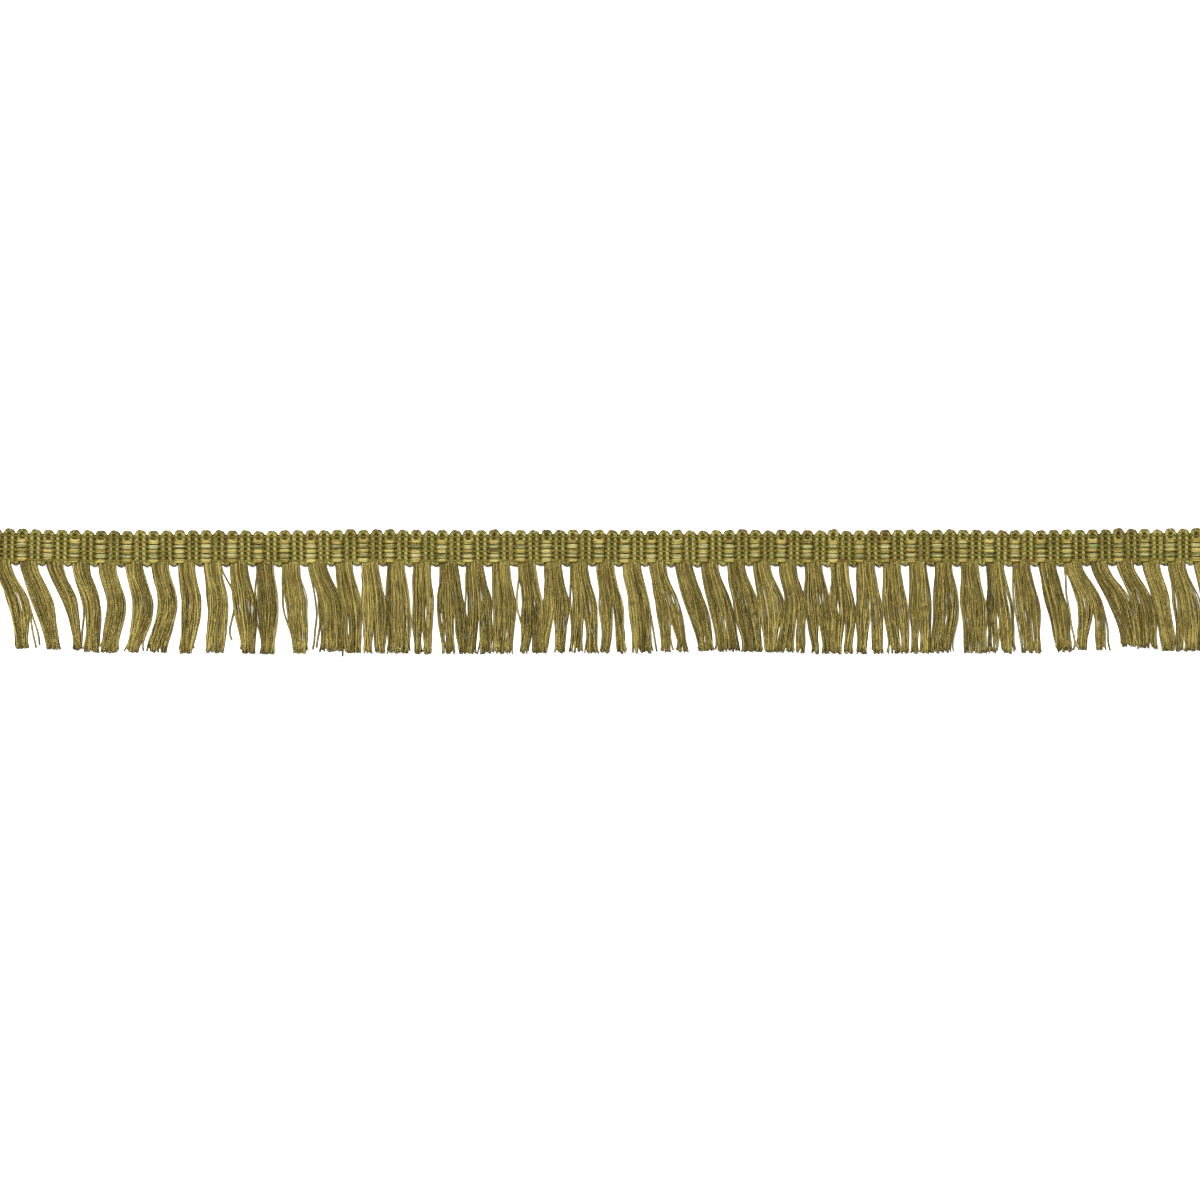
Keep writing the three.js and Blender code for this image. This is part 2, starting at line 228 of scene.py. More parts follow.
# One row for each lock. tip and mid are how far its middle has moved along the trim there, and
# belly and spread are its width there. Where share is under 1 the lock parts, with that share of
# its yarns on the left, and gap is the room between the two tufts at the tip.
LOCK_COLUMNS = ("tip", "mid", "belly", "spread", "share", "gap")
LOCKS = (
    (5.8, 4.6, 5.5, 2.8, 1, 0),
    (7.1, 4.2, 5.5, 2.9, 1, 0),
    (6.5, 4.5, 3.7, 1.5, 1, 0),
    (3.3, 3.3, 4.1, 3.5, 1, 0),
    (0.6, 2.4, 5.0, 4.2, 0.4, 0.5),
    (-0.1, 2.5, 5.3, 2.9, 1, 0),
    (-0.9, 1.9, 5.0, 5.3, 0.65, 0.6),
    (0.0, 1.4, 5.2, 3.7, 1, 0),
    (0.7, 1.7, 5.1, 5.1, 0.4, 0.5),
    (2.6, 1.6, 6.3, 2.9, 1, 0),
    (0.6, 0.7, 5.8, 2.9, 1, 0),
    (2.3, 1.2, 5.8, 3.5, 0.75, 0.3),
    (3.7, 3.5, 5.6, 4.8, 0.45, 0.4),
    (2.3, 2.0, 5.9, 4.5, 1, 0),
    (1.2, 1.2, 6.3, 6.1, 0.47, 1.1),
    (1.0, 0.7, 6.7, 5.7, 0.45, 0.6),
    (0.4, 0.3, 5.4, 4.3, 0.44, 1.1),
    (1.7, 0.6, 7.2, 5.7, 0.54, 1.3),
    (0.9, 1.1, 6.9, 6.8, 0.41, 1.2),
    (0.4, 0.8, 5.8, 5.0, 0.53, 0.6),
    (0.9, 1.3, 5.8, 5.6, 0.53, 1.1),
    (-0.1, 0.9, 7.4, 6.2, 0.44, 2.8),
    (1.5, 1.6, 6.6, 7.4, 0.48, 1.4),
    (2.4, 1.7, 6.1, 5.9, 0.58, 2.3),
    (3.0, 2.2, 5.5, 5.0, 0.6, 0.8),
    (4.5, 2.7, 6.1, 6.6, 0.45, 1.9),
    (5.8, 3.2, 5.6, 3.8, 0.55, 0.5),
    (4.9, 2.8, 6.3, 5.9, 0.75, 0.4),
    (4.6, 2.3, 6.3, 5.3, 0.55, 0.4),
    (3.0, 2.8, 6.9, 4.2, 1, 0),
    (1.6, 2.3, 5.4, 6.4, 0.57, 1.2),
    (2.3, 1.2, 6.9, 4.4, 0.47, 1.3),
    (0.7, 1.1, 6.2, 5.5, 0.56, 0.9),
    (0.9, 1.0, 7.1, 6.4, 0.5, 1.8),
    (1.9, 0.8, 6.6, 5.3, 0.55, 0.4),
    (0.8, 0.6, 5.8, 4.9, 0.42, 1.1),
    (-0.5, 0.7, 6.9, 5.8, 1, 0),
    (1.9, 1.2, 6.8, 5.8, 0.75, 0.4),
    (1.9, 1.3, 6.9, 7.0, 0.37, 1.9),
    (2.8, 1.7, 6.2, 4.7, 1, 0),
    (4.3, 2.4, 5.4, 4.1, 1, 0),
    (4.4, 4.4, 6.7, 7.4, 0.6, 2.6),
    (8.3, 5.3, 6.1, 4.4, 1, 0),
    (6.2, 4.7, 5.9, 5.3, 0.6, 0.5),
    (4.8, 3.0, 4.5, 3.5, 0.45, 0.4),
    (3.2, 2.6, 7.4, 6.4, 0.6, 0.3),
    (4.0, 3.0, 5.6, 4.8, 1, 0),
)

# Single yarns that stray from their lock: how far they have moved along the trim at the mid and
# at the tip, and the share of the length that they reach.
STRAY_COLUMNS = ("lock", "root", "mid", "tip", "reach")
STRAYS = (
    (0, 0.95, 6.8, 9.4, 0.96),
    (0, 0.9, 7.3, 10.4, 0.93),
    (1, 0.97, 6.8, 8.1, 0.98),
    (3, 0.05, 0.7, 0.6, 0.96),
    (3, 0.95, 4.9, 4.7, 1.0),
    (5, 0.95, 4.9, 2.1, 0.98),
    (8, 0.03, -1.1, -1.5, 0.99),
    (8, 0.98, 6.0, 4.3, 0.86),
    (11, 0.02, -2.3, 0.6, 0.97),
    (12, 0.0, -0.5, -1.1, 0.97),
    (12, 0.05, 0.3, -0.1, 0.95),
    (12, 0.1, 0.8, 0.7, 1.0),
    (13, 0.1, -0.2, -0.4, 1.05),
    (17, 0.98, 4.3, 5.4, 1.0),
    (20, 0.02, -2.7, -0.6, 0.97),
    (21, 0.6, 1.6, 0.9, 0.98),
    (22, 0.02, -2.2, -1.9, 0.99),
    (24, 0.98, 5.0, 6.5, 0.99),
    (28, 0.98, 5.9, 7.1, 0.98),
    (32, 0.03, -2.2, -1.9, 1.0),
    (38, 0.5, 1.6, 1.0, 0.98),
    (41, 0.0, -1.5, 0.4, 0.98),
    (41, 0.95, 7.8, 9.3, 0.99),
    (44, 0.95, 5.0, 5.6, 0.97),
)
LOCK_GROUPS = (("fringe_left", 0, 16), ("fringe_middle", 16, 32), ("fringe_right", 32, REPEATS))

# The kinds of yarn. dark, body and light are a yarn's colours from its lowest tint to its highest,
# painted shade and highlight included. twist is the length of one turn of its fibres, crown is
# the strength of the painted highlight along its top, and contrast is how much its fibres stand out.
COLOUR_COLUMNS = ("dark", "body", "light", "stain")
YARN_COLOURS = {
    "olive_cord": ((44, 36, 2), (82, 75, 22), (132, 124, 64), (92, 72, 28)),
    "olive_binder": ((50, 42, 4), (82, 74, 22), (120, 111, 54), (84, 66, 24)),
    "yellow_float": ((84, 70, 16), (135, 121, 48), (168, 156, 90), (138, 114, 50)),
    "sage_float": ((76, 71, 30), (123, 116, 64), (163, 154, 104), (112, 128, 74)),
    "olive_fringe_yarn": ((30, 24, 1), (79, 68, 16), (150, 134, 70), (84, 69, 25)),
}
LOOK_COLUMNS = ("roughness", "sheen", "twist", "fibres", "painted_crown", "contrast")
YARN_LOOKS = {
    "olive_cord": (0.65, 0.03, 1.1, 4, 0.25, 0.08),
    "olive_binder": (0.75, 0.02, 0.8, 2, 0.2, 0.1),
    "yellow_float": (0.5, 0.05, 6.0, 5, 0.1, 0.08),
    "sage_float": (0.5, 0.05, 6.0, 5, 0.1, 0.08),
    "olive_fringe_yarn": (0.7, 0.03, 1.1, 2, 0.56, 0.18),
}

# What all yarns share. Scales are to a metre, bumps in metres.
YARN_SPECULAR = 0.2
SHEEN_ROUGHNESS = 0.4
# A painted highlight runs along the top of each yarn; this sets how narrow it is
PAINTED_HIGHLIGHT_POWER = 4.0  # the higher, the narrower is the light crown
CLOUD_SCALE = 180.0
CLOUDS = 0.45
FUZZ_SCALE = 2500.0
FUZZ_DETAIL = 2.0
FUZZ = 1.5
FUZZ_BUMP = 0.7
STAIN_SCALE = 420.0
STAINS = (5.0, -2.9)  # a noise times the first and plus the second is how stained a place is
YARN_BUMP = 0.00005
YARN_BUMP_STRENGTH = 0.6

# The dark sheet's weave, whose colours are painted shade, and the floor
# Painted shade for the dark between the cords
SHADE_SHEET_DARK = (42, 34, 3)
SHADE_SHEET_LIGHT = (66, 56, 12)
SHADE_SHEET_SPECULAR = 0.1
MATT = 0.9  # roughness of the dark sheet and of the floor
WEAVE_SCALE = 2500.0
WEAVE_BUMP = 0.0001
WEAVE_BUMP_STRENGTH = 0.8
FLOOR_HALF = 1.5  # in metres
FLOOR_SCALE = 60.0
FLOOR_DARK = (0.93, 0.93, 0.93)
FLOOR_LIGHT = (0.95, 0.95, 0.95)

# The lights, in metres and watts
LIGHT_COLUMNS = ("name", "place", "size", "power")
LIGHTS = (
    ("key_light", (-0.4, 0.55, 1.5), 0.5, 60),
    ("fill_light", (0.9, -0.6, 1.5), 1.6, 10),
)
ROOM_LIGHT = 0.34


def named(columns, row):
    return dict(zip(columns, row))


def block_at(repeat):
    """The middle of a repeat's block of floats, on the straight trim."""
    return (repeat + BLOCK_AT) * REPEAT - LENGTH / 2


def row_at(row):
    """Where across the trim a row of floats and its binders lie."""
    return FLOAT_MIDDLE + (row - (FLOAT_ROWS - 1) / 2) * FLOAT_PITCH


def rise(x):
    """How far the trim has moved across at a place along it."""
    ends = END_LIFT * np.abs(2 * x / LENGTH) ** END_POWER
    dip = DIP * np.exp(-(((x - DIP_AT) / DIP_REACH) ** 2))
    return ends - dip + RIPPLE * np.cos(2 * np.pi * (x - RIPPLE_CREST) / RIPPLE_LENGTH)


def laid(points):
    """Points of the straight trim, moved to where they lie."""
    x, y, z = np.asarray(points, float).T
    along = x + EASE * np.sin(np.pi * (x + LENGTH / 2) / LENGTH)
    slope = (rise(x + 1) - rise(x - 1)) / 2
    return np.column_stack((along - y * slope, y + rise(x), z))


def resampled(points, step):
    """The same path, with points at an even distance of about step, and how far along each is."""
    points = np.asarray(points, float)
    lengths = np.linalg.norm(np.diff(points, axis=0), axis=1)
    run = np.concatenate(([0], np.cumsum(lengths)))
    at = np.linspace(0, run[-1], max(2, int(round(run[-1] / step)) + 1))
    return np.column_stack([np.interp(at, run, points[:, k]) for k in range(3)]), at


def sides_of(path):
    """For each point of a path: a level direction across it, and one square to both."""
    along = np.gradient(path, axis=0)
    along /= np.linalg.norm(along, axis=1)[:, None]
    across = np.cross(along, (0.0, 0.0, 1.0))
    across /= np.linalg.norm(across, axis=1)[:, None]
    return across, np.cross(across, along)


def mesh_object(name, points, faces, material):
    """A new object, from points in metres."""
    mesh = bpy.data.meshes.new(name)
    mesh.from_pydata(points, [], faces)
    mesh.materials.append(material)
    made = bpy.data.objects.new(name, mesh)
    bpy.context.scene.collection.objects.link(made)
    return made


def worn(made, node):
    """Hangs a piece of the trim on the root body, and hides the part of the model that it stands for."""
    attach(made, "root")
    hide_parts(node)
    return made


def tube_faces(rings, sides, start):
    """The faces of a closed tube whose first point has the number start."""
    ring, side = np.meshgrid(np.arange(rings - 1), np.arange(sides), indexing="ij")
    here = ring * sides + side
    beside = ring * sides + (side + 1) % sides
    quads = np.stack((here, beside, beside + sides, here + sides), axis=-1).reshape(-1, 4) + start
    first = np.arange(sides)[::-1] + start
    last = np.arange(sides) + (rings - 1) * sides + start
    return quads.tolist() + [first.tolist(), last.tolist()]


class Yarns:
    """Many tubes that become one piece, with a tint, a length and a turn at each point."""

    def __init__(self):
        self.points = []
        self.faces = []
        self.tints = []
        self.runs = []
        self.turns = []
        self.count = 0

    def tube(self, path, radius, tint, sides=6, flatten=1.0):
        """One yarn or ply. Its radius and its tint may differ from point to point."""
        across, up = sides_of(path)
        rings = len(path)
        shares = (np.arange(sides) + 0.5) / sides
        angles = 2 * np.pi * shares - np.pi / 2
        radius = np.broadcast_to(radius, rings)[:, None, None]
        outward = np.cos(angles)[None, :, None] * across[:, None, :]
        outward = outward + flatten * np.sin(angles)[None, :, None] * up[:, None, :]
        points = path[:, None, :] + radius * outward
        lengths = np.linalg.norm(np.diff(path, axis=0), axis=1)
        run = rng.uniform(0, RUN_START) + np.concatenate(([0], np.cumsum(lengths)))
        self.points.append(points.reshape(-1, 3))
        self.faces.extend(tube_faces(rings, sides, self.count))
        self.tints.append(np.repeat(np.broadcast_to(tint, rings), sides))
        self.runs.append(np.repeat(run, sides))
        self.turns.append(np.tile(shares, rings))
        self.count += rings * sides

    def piece(self, name, material, slot, node):
        made = mesh_object(name, (np.concatenate(self.points) * MM).tolist(), self.faces, material)
        mesh = made.data
        for key, values in (("tint", self.tints), ("run", self.runs), ("turn", self.turns)):
            attribute = mesh.attributes.new(key, "FLOAT", "POINT")
            attribute.data.foreach_set("value", np.concatenate(values).astype(np.float32))
        mesh.polygons.foreach_set("use_smooth", [True] * len(mesh.polygons))
        return worn(made, node)


def tied_down(path):
    """1 where the binders of a row cross the cord, 0 half way between two rows."""
    rows = (path[:, 1] - row_at(0)) / FLOAT_PITCH
    inside = (rows > -0.5) & (rows < BINDER_ROWS - 0.5)
    return inside * (0.5 + 0.5 * np.cos(2 * np.pi * rows)) ** TIED_POWER


def plied(yarns, path, tint, phase):
    """Two plies twisted about a path, drawn in and pressed down where the binders cross it."""
    path, run = resampled(path, CORD_STEP)
    across, up = sides_of(path)
    tied = tied_down(path)
    path = path - PRESSED * tied[:, None] * np.array((0, 0, 1))
    size = PLY_FREE - PLY_TIED * tied
    # Painted shade: the cord darkens for each millimetre beyond the legs' ends
    beyond = np.maximum(path[:, 1] - LEG_TOP, 0) + np.maximum(LEG_FOOT - path[:, 1], 0)
    tint = tint - TURN_PAINTED_SHADE * beyond
    for ply in (0, 1):
        angle = 2 * np.pi * run / PLY_TURN + phase + ply * np.pi
        offset = np.cos(angle)[:, None] * across + TWIST_FLAT * np.sin(angle)[:, None] * up
        centre = laid(path + PLY_OFFSET * size[:, None] * offset)
        # Painted highlight where a ply lies on top and painted shade where it lies beneath, none under
        # the binders
        painted_crown = CORD_PAINTED_HIGHLIGHT * np.sin(angle) * (1 - tied)
        # The tint takes in painted shade where the binders press the cord down
        shade = tint + rng.normal(0, PLY_TINT) + painted_crown - TIED_PAINTED_SHADE * tied
        yarns.tube(centre, PLY * size, shade, flatten=PLY_FLAT)


def half_turn(x, top):
    """A picot: from the top of the left leg over to the top of the right leg."""
    radius = PICOT + rng.normal(0, UNEVEN_PICOT)
    angles = np.linspace(np.pi, 0, TURN_STEPS)
    z = LEG_Z - (LEG_Z - TURN_Z) * np.sin(angles) ** TURN_POWER
    return np.column_stack((x + radius * np.cos(angles), top + radius * np.sin(angles), z))


def ribs(yarns, x, last):
    """Two bare legs with their picot, and the loop from the right leg's foot to the next block."""
    top = LEG_TOP + rng.normal(0, UNEVEN_TOP)
    left = [(x - LEG, LEG_FOOT - ENTRY, BURIED_Z), (x - LEG, LEG_FOOT, LEG_Z - FOOT_DIP)]
    over = half_turn(x, top)
    right = [(x + LEG, top - STRAIGHT, LEG_Z), (x + LEG, LEG_FOOT + STRAIGHT, LEG_Z)]
    bend = np.linspace(np.pi, 2 * np.pi, TURN_STEPS)
    middle = x + LEG + LOOP_TURN
    depth = LOOP_TURN + rng.normal(0, UNEVEN_LOOP)
    y = LEG_FOOT + LOOP_FOOT + depth * np.sin(bend)
    z = LOOP_Z + LOOP_RISE * (1 + np.cos(bend - np.pi)) / 2
    loop = np.column_stack((middle + LOOP_TURN * np.cos(bend), y, z))
    under = [(middle + LOOP_TURN, LEG_FOOT + LOOP_TUCK, BURIED_Z)]
    tail = [[(x + LEG, LEG_FOOT, LEG_Z - END_DIP)]] if last else [loop, under]
    path = np.concatenate([left, over, right, *tail])
    plied(yarns, path, rng.uniform(*CORD_TINT), CORD_PHASE + rng.normal(0, UNEVEN_TWIST))


def block_turn(yarns, x):
    """The picot above a block, and its two legs, which run on under the floats."""
    top = LEG_TOP + TURN_RISE + rng.normal(0, UNEVEN_TOP)
    above = COVERED_TOP + DIVE_ABOVE
    below = COVERED_TOP - DIVE_BELOW
    left = [(x - LEG, below, COVERED_Z), (x - LEG, above, LEG_Z)]
    right = [(x + LEG, above, LEG_Z), (x + LEG, below, COVERED_Z)]
    path = np.concatenate([left, half_turn(x, top), right])
    tint = rng.uniform(*CORD_TINT)
    plied(yarns, path, tint, CORD_PHASE + rng.normal(0, UNEVEN_TWIST))
    for leg in (x - LEG, x + LEG):
        covered = [(leg, LEG_FOOT + COVERED_FOOT, COVERED_Z), (leg, COVERED_TOP, COVERED_Z)]
        # Painted shade on the legs under the floats
        plied(yarns, covered, tint - COVERED_PAINTED_SHADE, rng.uniform(0, COVERED_PHASE))


def cords():
    """The weft cord of the whole heading."""
    yarns = Yarns()
    for i in range(REPEATS):
        ribs(yarns, block_at(i) + REPEAT / 2, last=i == REPEATS - 1)
        block_turn(yarns, block_at(i))
    return yarns


def float_yarn(yarns, middle, y, offset, shade):
    """One yarn of a float, at an offset from the float's own line."""
    shares = np.linspace(-1, 1, FLOAT_STEPS)
    height = FLOAT_Z - FLOAT_ROUND * offset**2 + rng.normal(0, UNEVEN_ROW)
    half = FLOAT_HALF + rng.normal(0, UNEVEN_FLOAT)
    x = middle + half * shares + rng.normal(0, UNEVEN_FLOAT)
    drop = np.clip((np.abs(shares) - DIVE_FROM) / (1 - DIVE_FROM), 0, 1) ** DIVE_POWER
    gather = 1 - FLOAT_GATHER * np.abs(shares) ** 3
    slant = rng.normal(0, UNEVEN_SLANT) * shares
    z = height + FLOAT_ARCH * (1 - shares**2) - DIVE * drop
    path = np.column_stack((x, y + offset * gather + slant, z))
    # Painted shade on the outer, lower yarns of the float
    tint = shade + rng.normal(*FLOAT_YARN_TINT) - FLOAT_SIDE_PAINTED_SHADE * abs(offset)
    # Painted shade towards the ends, where the yarns dive
    tint = tint - FLOAT_END_PAINTED_SHADE * np.abs(shares) ** 3
    yarns.tube(laid(path), FLOAT_YARN * rng.uniform(*YARN_SIZES), tint)


def floats(rows, tints):
    """The laid yarns of some rows, which lie over each block and dive at both its ends."""
    yarns = Yarns()
    for i in range(REPEATS):
        for row in rows:
            y = row_at(row) + rng.normal(0, UNEVEN_ROW)
            shade = np.clip(rng.normal(*tints), 0, 1)
            for offset in FLOAT_YARNS:
                float_yarn(yarns, block_at(i), y, offset, shade)
    return yarns


def binders():
    """Pairs of thin yarns along the trim: over the bare cords at each row, and under the floats."""
    yarns = Yarns()
    x = np.arange(-LENGTH / 2, LENGTH / 2 + BINDER_STEP / 2, BINDER_STEP)
    from_ribs = (x - block_at(0)) % REPEAT - REPEAT / 2
    from_turn = (x - block_at(0) + REPEAT / 4) % (REPEAT / 2) - REPEAT / 4
    for row in range(BINDER_ROWS):
        from_cords = from_ribs if row < FLOAT_ROWS else from_turn
        past_leg = (np.abs(from_cords) - LEG) / BINDER_ARCH_REACH
        z = BINDER_Z + BINDER_ARCH * np.exp(-(past_leg**2))
        phase = rng.uniform(0, 2 * np.pi)
        for side in (-1, 1):
            angle = 2 * np.pi * x / BINDER_TURN + phase
            waver = BINDER_WAVER * np.sin(x * BINDER_WAVER_RATE + phase)
            sway = side * BINDER_OFFSET * np.cos(angle) + waver
            lift = side * BINDER_FLAT * BINDER_OFFSET * np.sin(angle)
            path = np.column_stack((x, row_at(row) + sway, z + lift))
            yarns.tube(laid(path), BINDER, rng.uniform(*BINDER_TINT), sides=BINDER_SIDES)
    return yarns


def eased(knots, values, at):
    """A smooth curve through values at knots, for each value of at."""
    slopes = np.zeros(len(knots))
    slopes[1:-1] = (values[2:] - values[:-2]) / (knots[2:] - knots[:-2])
    slopes[-1] = TIP_SLOPE * (values[-1] - values[-2]) / (knots[-1] - knots[-2])
    i = np.clip(np.searchsorted(knots, at, side="right") - 1, 0, len(knots) - 2)
    width = knots[i + 1] - knots[i]
    t = (at - knots[i]) / width
    a = (2 * t**3 - 3 * t**2 + 1) * values[i] + (t**3 - 2 * t**2 + t) * width * slopes[i]
    b = (3 * t**2 - 2 * t**3) * values[i + 1] + (t**3 - t**2) * width * slopes[i + 1]
    return a + b


def lock_drop(lock):
    """How far down the trim a lock reaches, as its bends take up some of the yarn."""
    upper = LOCK_MID * LOCK_LENGTH
    lower = LOCK_LENGTH - upper
    return LOCK_LENGTH - lock["mid"] ** 2 / (2 * upper) - (lock["tip"] - lock["mid"]) ** 2 / (2 * lower)


def yarn_path(middle, drop, root, mid, tip, layer, reach):
    """One yarn of a lock, from under the heading to its cut end."""
    shares = YARN_SHARES
    values = np.array([root, root + NECK_SHARE * (mid - root), mid, tip])
    swing = rng.uniform(*SWAY)
    waves = rng.uniform(*SWAY_WAVES) * shares + rng.uniform(0, 1)
    sway = swing * np.sin(2 * np.pi * waves) * np.clip(shares / SWAY_FROM, 0, 1)
    cut_end = np.clip((shares - CURL_FROM) / (1 - CURL_FROM), 0, 1) ** 2
    curl = rng.normal(FLARE * root / LOCK_ROOT, UNEVEN_CURL) * cut_end
    x = middle + eased(KNOTS, values, shares) + sway + curl
    y = LOCK_FOOT - shares * drop * reach
    rooted = np.clip(1 - shares / TUCKED, 0, 1)
    heave = HEAVE * np.sin(HEAVE_RATE * shares + root)
    z = YARN + CLEAR + layer * (1 - TIP_LAYERS * shares) + ROOT_RISE * rooted + heave
    hidden = (middle + root, LOCK_TOP, YARN + ROOT_CLEAR + ROOT_LAYERS * layer)
    return laid(np.vstack((hidden, np.column_stack((x, y, z)))))


def lock_yarn(yarns, lock, middle, shade, n):
    """The yarn of a lock with the number n. Its neighbours lie in other layers."""
    place = np.clip((n + 0.5 + rng.normal(0, UNEVEN_PLACE)) / LOCK_YARNS, *PLACES)
    turn = n % len(YARN_LAYERS)
    layer = YARN_LAYERS[turn] + rng.normal(0, UNEVEN_LAYER)
    at_tip = np.clip(place + rng.normal(0, UNEVEN_TIP), 0, 1)
    parted = lock["gap"] if place > lock["share"] else 0
    within = lock["spread"] - lock["gap"]
    root = (place - 0.5) * (LOCK_ROOT - 2 * YARN)
    mid = lock["mid"] + (place - 0.5 + rng.normal(0, UNEVEN_MID)) * (lock["belly"] - YARN)
    tip = lock["tip"] - (lock["spread"] - YARN) / 2 + at_tip * (within - YARN) + parted
    reach = REACH - abs(rng.normal(0, UNEVEN_REACH))
    path = yarn_path(middle, lock_drop(lock), root, mid, tip, max(layer, 0), reach)
    thick = YARN * (THICK if turn == 0 else rng.uniform(*YARN_SIZES))
    yarns.tube(path, thick, shade + rng.normal(0, LOCK_YARN_TINT))


def stray_yarn(yarns, stray):
    """A single yarn that has left its lock."""
    middle = block_at(stray["lock"]) + LOCK_FROM_BLOCK
    root = (stray["root"] - 0.5) * LOCK_ROOT
    path = yarn_path(middle, LOCK_LENGTH, root, stray["mid"], stray["tip"], STRAY_LAYER, stray["reach"])
    yarns.tube(path, THICK * YARN, rng.uniform(*STRAY_TINT))


def locks(first, last):
    """The locks from first up to last, and the yarns that stray from them."""
    yarns = Yarns()
    for i in range(first, last):
        lock = named(LOCK_COLUMNS, LOCKS[i])
        middle = block_at(i) + LOCK_FROM_BLOCK
        shade = rng.normal(*LOCK_TINT)
        for n in range(LOCK_YARNS):
            lock_yarn(yarns, lock, middle, shade, n)
    for row in STRAYS:
        stray = named(STRAY_COLUMNS, row)
        if first <= stray["lock"] < last:
            stray_yarn(yarns, stray)
    return yarns


def shade_sheet(material):
    """A sheet under the cords and floats, painted dark as the shade between them."""
    corners = (
        (SHEET_FOOT, SHEET_LOW),
        (SHEET_TOP, SHEET_LOW),
        (SHEET_TOP, SHEET_HIGH),
        (SHEET_FOOT, SHEET_HIGH),
    )
    stations = np.linspace(-LENGTH / 2, LENGTH / 2, SHEET_STATIONS * REPEATS + 1)
    points = laid([(x, y, z) for x in stations for y, z in corners])
    faces = [(0, 1, 2, 3)]
    for i in range(len(stations) - 1):
        for k in range(4):
            a = 4 * i + k
            b = 4 * i + (k + 1) % 4
            faces.append((a, a + 4, b + 4, b))
    end = 4 * (len(stations) - 1)
    faces.append((end + 3, end + 2, end + 1, end))
    made = mesh_object("heading_shade_sheet", (points * MM).tolist(), faces, material)
    return worn(made, "heading")


class Shader:
    """A principled material and the nodes that lead to it."""

    def __init__(self, name, roughness):
        self.material = bpy.data.materials.new(name)
        self.material.use_nodes = True
        self.tree = self.material.node_tree
        self.main = self.tree.nodes["Principled BSDF"]
        self.main.inputs["Roughness"].default_value = roughness

    def node(self, kind, **inputs):
        """A new node. Its inputs are sockets or values, by name, or by number as in _0."""
        made = self.tree.nodes.new(kind)
        for key, value in inputs.items():
            socket = made.inputs[int(key[1:])] if key[1:].isdigit() else made.inputs[key]
            if isinstance(value, bpy.types.NodeSocket):
                self.tree.links.new(value, socket)
            else:
                socket.default_value = value
        return made

    def attribute(self, name):
        made = self.node("ShaderNodeAttribute")
        made.attribute_name = name
        return made.outputs["Fac"]

    def math(self, operation, a, b=0.0, c=0.0):
        made = self.node("ShaderNodeMath", _0=a, _1=b, _2=c)
        made.operation = operation
        return made.outputs[0]

    def added(self, noise, amount, value):
        """A value with a noise added, which is as often under its middle as over it."""
        return self.math("MULTIPLY_ADD", self.math("SUBTRACT", noise, 0.5), amount, value)

    def noise(self, vector, scale, detail=3.0):
        made = self.node("ShaderNodeTexNoise", Vector=vector, Scale=scale, Detail=detail)
        return made.outputs["Fac"]

    def ramp(self, factor, stops):
        made = self.node("ShaderNodeValToRGB", Fac=factor)
        ramp = made.color_ramp
        while len(ramp.elements) < len(stops):
            ramp.elements.new(0.5)
        for element, (place, colour) in zip(ramp.elements, stops):
            element.position = place
            element.color = (*colour, 1)
        return made.outputs["Color"]

    def mixed(self, factor, first, second):
        """From the colour of a socket to a plain colour, by the factor."""
        made = self.tree.nodes.new("ShaderNodeMix")
        made.data_type = "RGBA"
        self.tree.links.new(factor, made.inputs[0])
        self.tree.links.new(first, made.inputs[6])
        made.inputs[7].default_value = (*second, 1)
        return made.outputs[2]

    def colour(self, socket):
        self.tree.links.new(socket, self.main.inputs["Base Color"])

    def bump(self, height, distance, strength):
        made = self.node("ShaderNodeBump", Height=height, Distance=distance, Strength=strength)
        self.tree.links.new(made.outputs["Normal"], self.main.inputs["Normal"])

    def place(self):
        return self.node("ShaderNodeTexCoord").outputs["Object"]


def srgb(red, green, blue):
    """A colour as seen, in the linear values that a shader takes."""
    values = np.array([red, green, blue]) / 255
    return tuple(np.where(values <= 0.04045, values / 12.92, ((values + 0.055) / 1.055) ** 2.4))


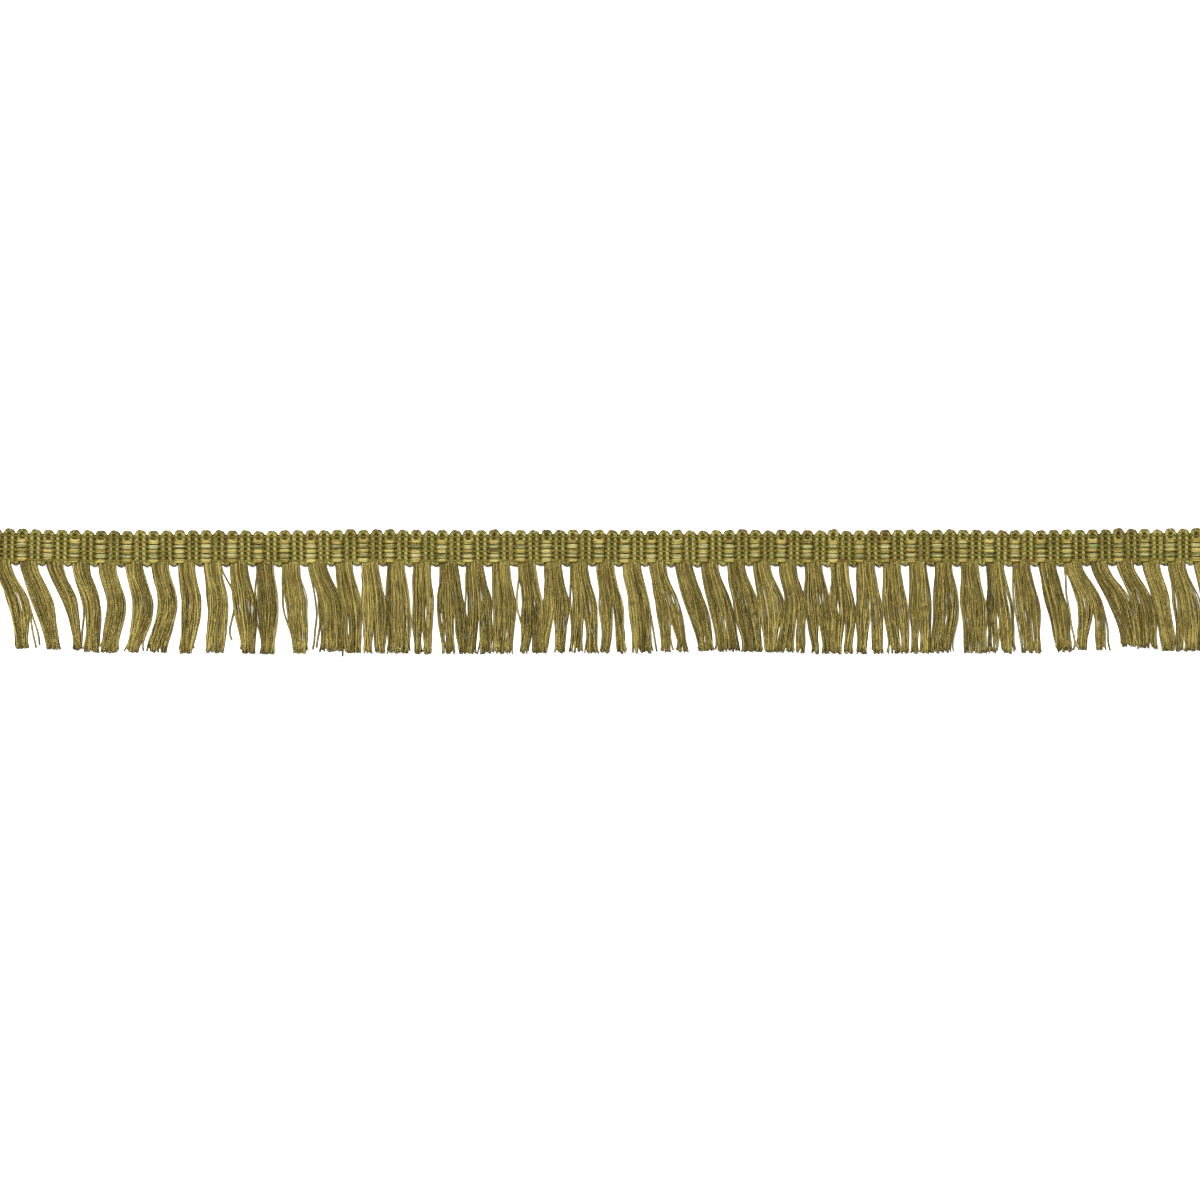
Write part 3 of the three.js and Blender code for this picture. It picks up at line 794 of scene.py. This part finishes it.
def yarn_material(name):
    """Yarn with its own tint, a painted highlight along its top, fibres wound around it, flecks and
    stains.
    """
    colours = named(COLOUR_COLUMNS, YARN_COLOURS[name])
    look = named(LOOK_COLUMNS, YARN_LOOKS[name])
    shader = Shader(name, look["roughness"])
    shader.main.inputs["Specular IOR Level"].default_value = YARN_SPECULAR
    shader.main.inputs["Sheen Weight"].default_value = look["sheen"]
    shader.main.inputs["Sheen Roughness"].default_value = SHEEN_ROUGHNESS
    run = shader.attribute("run")
    turn = shader.attribute("turn")
    wound = shader.math("MULTIPLY_ADD", run, 1 / look["twist"], turn)
    streak = shader.math("SINE", shader.math("MULTIPLY", wound, 2 * math.pi * look["fibres"]))
    place = shader.place()
    fuzz = shader.noise(place, FUZZ_SCALE, FUZZ_DETAIL)
    tint = shader.math("MULTIPLY_ADD", streak, look["contrast"], shader.attribute("tint"))
    # A painted highlight along the top of the yarn, found from its turn
    downward = shader.math("COSINE", shader.math("MULTIPLY", turn, 2 * math.pi))
    painted_highlight = shader.math("POWER", shader.math("MULTIPLY_ADD", downward, -0.5, 0.5), PAINTED_HIGHLIGHT_POWER)
    tint = shader.math("MULTIPLY_ADD", painted_highlight, look["painted_crown"], tint)
    tint = shader.added(shader.noise(place, CLOUD_SCALE), CLOUDS, tint)
    tint = shader.added(fuzz, FUZZ, tint)
    stained = shader.math("MULTIPLY_ADD", shader.noise(place, STAIN_SCALE, 1.0), *STAINS)
    stained.node.use_clamp = True
    stops = [(stop, srgb(*colours[key])) for stop, key in ((0.0, "dark"), (0.5, "body"), (1.0, "light"))]
    shader.colour(shader.mixed(stained, shader.ramp(tint, stops), srgb(*colours["stain"])))
    shader.bump(shader.math("MULTIPLY_ADD", fuzz, FUZZ_BUMP, streak), YARN_BUMP, YARN_BUMP_STRENGTH)
    return shader.material


def shade_sheet_material():
    """Painted shade: a dark, coarse weave."""
    shader = Shader("painted_shade_weave", MATT)
    shader.main.inputs["Specular IOR Level"].default_value = SHADE_SHEET_SPECULAR
    weave = shader.noise(shader.place(), WEAVE_SCALE)
    shader.colour(shader.ramp(weave, ((0.3, srgb(*SHADE_SHEET_DARK)), (0.7, srgb(*SHADE_SHEET_LIGHT)))))
    shader.bump(weave, WEAVE_BUMP, WEAVE_BUMP_STRENGTH)
    return shader.material


def floor_material():
    """Near white, with a grain that hardly shows."""
    shader = Shader("pale_floor", MATT)
    grain = shader.noise(shader.place(), FLOOR_SCALE)
    shader.colour(shader.ramp(grain, ((0.0, FLOOR_DARK), (1.0, FLOOR_LIGHT))))
    return shader.material


def build_trim():
    cord = yarn_material("olive_cord")
    binder = yarn_material("olive_binder")
    yellow = yarn_material("yellow_float")
    sage = yarn_material("sage_float")
    fringe = yarn_material("olive_fringe_yarn")
    shade_sheet_piece = shade_sheet(shade_sheet_material())
    pieces = [
        cords().piece("heading_cord", cord, "braid", "heading"),
        floats(YELLOW_ROWS, YELLOW_TINT).piece("heading_yellow_floats", yellow, "braid", "heading"),
        floats(SAGE_ROWS, SAGE_TINT).piece("heading_sage_floats", sage, "braid", "heading"),
        binders().piece("heading_binders", binder, "braid", "heading"),
    ]
    for name, first, last in LOCK_GROUPS:
        pieces.append(locks(first, last).piece(name, fringe, "fringe", "fringe"))


def build_stage():
    corners = [(-FLOOR_HALF, -FLOOR_HALF, 0), (FLOOR_HALF, -FLOOR_HALF, 0)]
    corners += [(FLOOR_HALF, FLOOR_HALF, 0), (-FLOOR_HALF, FLOOR_HALF, 0)]
    mesh_object("floor", corners, [(0, 1, 2, 3)], floor_material())


def build_light():
    """Square lights that face the trim's middle, in a pale room."""
    for row in LIGHTS:
        look = named(LIGHT_COLUMNS, row)
        light = bpy.data.lights.new(look["name"], "AREA")
        light.size = look["size"]
        light.energy = look["power"]
        made = bpy.data.objects.new(look["name"], light)
        made.location = look["place"]
        made.rotation_euler = (-Vector(look["place"])).to_track_quat("-Z", "Y").to_euler()
        bpy.context.scene.collection.objects.link(made)
    world = bpy.data.worlds.new("studio")
    world.use_nodes = True
    world.node_tree.nodes["Background"].inputs["Color"].default_value = (1, 1, 1, 1)
    world.node_tree.nodes["Background"].inputs["Strength"].default_value = ROOM_LIGHT
    bpy.context.scene.world = world


def build_camera():
    camera = bpy.data.cameras.new("camera")
    camera.sensor_width = SENSOR
    camera.lens = SENSOR * CAMERA_HEIGHT / VIEW_WIDTH
    camera.clip_end = 10
    made = bpy.data.objects.new("camera", camera)
    made.location = (VIEW_CENTRE[0] * MM, VIEW_CENTRE[1] * MM, CAMERA_HEIGHT * MM)
    bpy.context.scene.collection.objects.link(made)
    bpy.context.scene.camera = made
    bpy.context.scene.view_settings.view_transform = "Standard"


build_camera()
build_trim()
build_stage()
build_light()
